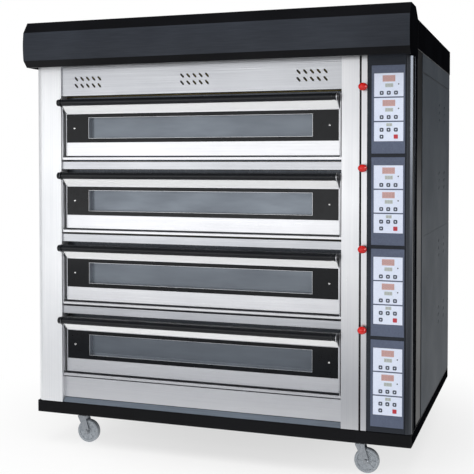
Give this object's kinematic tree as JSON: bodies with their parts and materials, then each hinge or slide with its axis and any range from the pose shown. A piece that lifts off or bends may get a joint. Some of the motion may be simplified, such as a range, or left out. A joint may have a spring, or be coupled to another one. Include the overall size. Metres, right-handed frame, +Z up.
{
  "type": "deck oven",
  "caption": "Floor-standing electric deck oven on swivel casters: stacked baking decks with drop-down glazed doors, a front hood, stainless columns and a side column of controls.",
  "frame": {"origin": "on the floor, at the centre of the bounding box", "axes": "+Z up, the doors face -Y, +X towards the control column"},
  "size_m": [1.6336, 1.35, 1.8255],
  "materials": {
    "stainless": "brushed",
    "chamber_steel": "rolled, heat-dulled",
    "black_paint": "satin powder coat",
    "grey_paint": "satin powder coat",
    "panel_paint": "matt paint",
    "door_glass": "black-printed toughened glass",
    "handle_bakelite": "moulded, semi-gloss",
    "hearth_stone": "cast refractory",
    "heater_tube": "oxidised",
    "red_knob": "gloss",
    "caster_plastic": "moulded nylon",
    "zinc_plate": "zinc plated",
    "rock_wool": "fibrous"
  },
  "bodies": {
    "oven": {"base_frame": "black_paint", "bottom_heater_1": "heater_tube", "bottom_heater_2": "heater_tube", "bottom_heater_3": "heater_tube", "bottom_heater_4": "heater_tube", "chamber_1": "chamber_steel", "chamber_2": "chamber_steel", "chamber_3": "chamber_steel", "chamber_4": "chamber_steel", "control_housing": "black_paint", "control_panel_1": "panel_paint", "control_panel_2": "panel_paint", "control_panel_3": "panel_paint", "control_panel_4": "panel_paint", "corner_post": "stainless", "deck_strip_1": "stainless", "deck_strip_2": "stainless", "deck_strip_3": "stainless", "hearth_stone_1": "hearth_stone", "hearth_stone_2": "hearth_stone", "hearth_stone_3": "hearth_stone", "hearth_stone_4": "hearth_stone", "hood": "black_paint", "insulation": "rock_wool", "left_column": "stainless", "left_side_panel": "grey_paint", "plinth_panel": "stainless", "rear_panel": "grey_paint", "right_column": "stainless", "right_side_panel": "grey_paint", "roof_panel": "black_paint", "top_heater_1": "heater_tube", "top_heater_2": "heater_tube", "top_heater_3": "heater_tube", "top_heater_4": "heater_tube", "vent_panel": "stainless"},
    "door_1": {"door_frame_1": "stainless", "door_glass_1": "door_glass", "door_handle_1": "handle_bakelite"},
    "door_2": {"door_frame_2": "stainless", "door_glass_2": "door_glass", "door_handle_2": "handle_bakelite"},
    "door_3": {"door_frame_3": "stainless", "door_glass_3": "door_glass", "door_handle_3": "handle_bakelite"},
    "door_4": {"door_frame_4": "stainless", "door_glass_4": "door_glass", "door_handle_4": "handle_bakelite"},
    "damper_1": {"damper_knob_1": "red_knob"},
    "damper_2": {"damper_knob_2": "red_knob"},
    "damper_3": {"damper_knob_3": "red_knob"},
    "damper_4": {"damper_knob_4": "red_knob"},
    "fork_front_left": {"caster_fork_front_left": "zinc_plate"},
    "wheel_front_left": {"caster_wheel_front_left": "caster_plastic"},
    "fork_front_right": {"caster_fork_front_right": "zinc_plate"},
    "wheel_front_right": {"caster_wheel_front_right": "caster_plastic"},
    "fork_rear_left": {"caster_fork_rear_left": "zinc_plate"},
    "wheel_rear_left": {"caster_wheel_rear_left": "caster_plastic"},
    "fork_rear_right": {"caster_fork_rear_right": "zinc_plate"},
    "wheel_rear_right": {"caster_wheel_rear_right": "caster_plastic"}
  },
  "joints": [
    {"name": "door_1_hinge", "type": "hinge", "parent": "oven", "child": "door_1", "pos_m": [-0.076, -0.549, 1.262], "axis": [1, 0, 0], "range_deg": [0, 90], "stiffness_Nm_per_rad": 4.8, "springref_deg": -29.79},
    {"name": "door_2_hinge", "type": "hinge", "parent": "oven", "child": "door_2", "pos_m": [-0.076, -0.549, 0.95], "axis": [1, 0, 0], "range_deg": [0, 90], "stiffness_Nm_per_rad": 4.8, "springref_deg": -29.79},
    {"name": "door_3_hinge", "type": "hinge", "parent": "oven", "child": "door_3", "pos_m": [-0.076, -0.549, 0.638], "axis": [1, 0, 0], "range_deg": [0, 90], "stiffness_Nm_per_rad": 4.8, "springref_deg": -29.79},
    {"name": "door_4_hinge", "type": "hinge", "parent": "oven", "child": "door_4", "pos_m": [-0.076, -0.549, 0.326], "axis": [1, 0, 0], "range_deg": [0, 90], "stiffness_Nm_per_rad": 4.8, "springref_deg": -29.79},
    {"name": "damper_1_pull", "type": "slide", "parent": "oven", "child": "damper_1", "axis": [0, -1, 0], "range_m": [0, 0.06]},
    {"name": "damper_2_pull", "type": "slide", "parent": "oven", "child": "damper_2", "axis": [0, -1, 0], "range_m": [0, 0.06]},
    {"name": "damper_3_pull", "type": "slide", "parent": "oven", "child": "damper_3", "axis": [0, -1, 0], "range_m": [0, 0.06]},
    {"name": "damper_4_pull", "type": "slide", "parent": "oven", "child": "damper_4", "axis": [0, -1, 0], "range_m": [0, 0.06]},
    {"name": "front_left_swivel", "type": "hinge", "parent": "oven", "child": "fork_front_left", "pos_m": [-0.632, -0.49, 0.1377], "axis": [0, 0, 1], "continuous": true},
    {"name": "front_left_roll", "type": "hinge", "parent": "fork_front_left", "child": "wheel_front_left", "pos_m": [-0.608, -0.49, 0.05], "axis": [0, 1, 0], "continuous": true},
    {"name": "front_right_swivel", "type": "hinge", "parent": "oven", "child": "fork_front_right", "pos_m": [0.604, -0.49, 0.1377], "axis": [0, 0, 1], "continuous": true},
    {"name": "front_right_roll", "type": "hinge", "parent": "fork_front_right", "child": "wheel_front_right", "pos_m": [0.628, -0.49, 0.05], "axis": [0, 1, 0], "continuous": true},
    {"name": "rear_left_swivel", "type": "hinge", "parent": "oven", "child": "fork_rear_left", "pos_m": [-0.632, 0.565, 0.1377], "axis": [0, 0, 1], "continuous": true},
    {"name": "rear_left_roll", "type": "hinge", "parent": "fork_rear_left", "child": "wheel_rear_left", "pos_m": [-0.608, 0.565, 0.05], "axis": [0, 1, 0], "continuous": true},
    {"name": "rear_right_swivel", "type": "hinge", "parent": "oven", "child": "fork_rear_right", "pos_m": [0.604, 0.565, 0.1377], "axis": [0, 0, 1], "continuous": true},
    {"name": "rear_right_roll", "type": "hinge", "parent": "fork_rear_right", "child": "wheel_rear_right", "pos_m": [0.628, 0.565, 0.05], "axis": [0, 1, 0], "continuous": true}
  ]
}
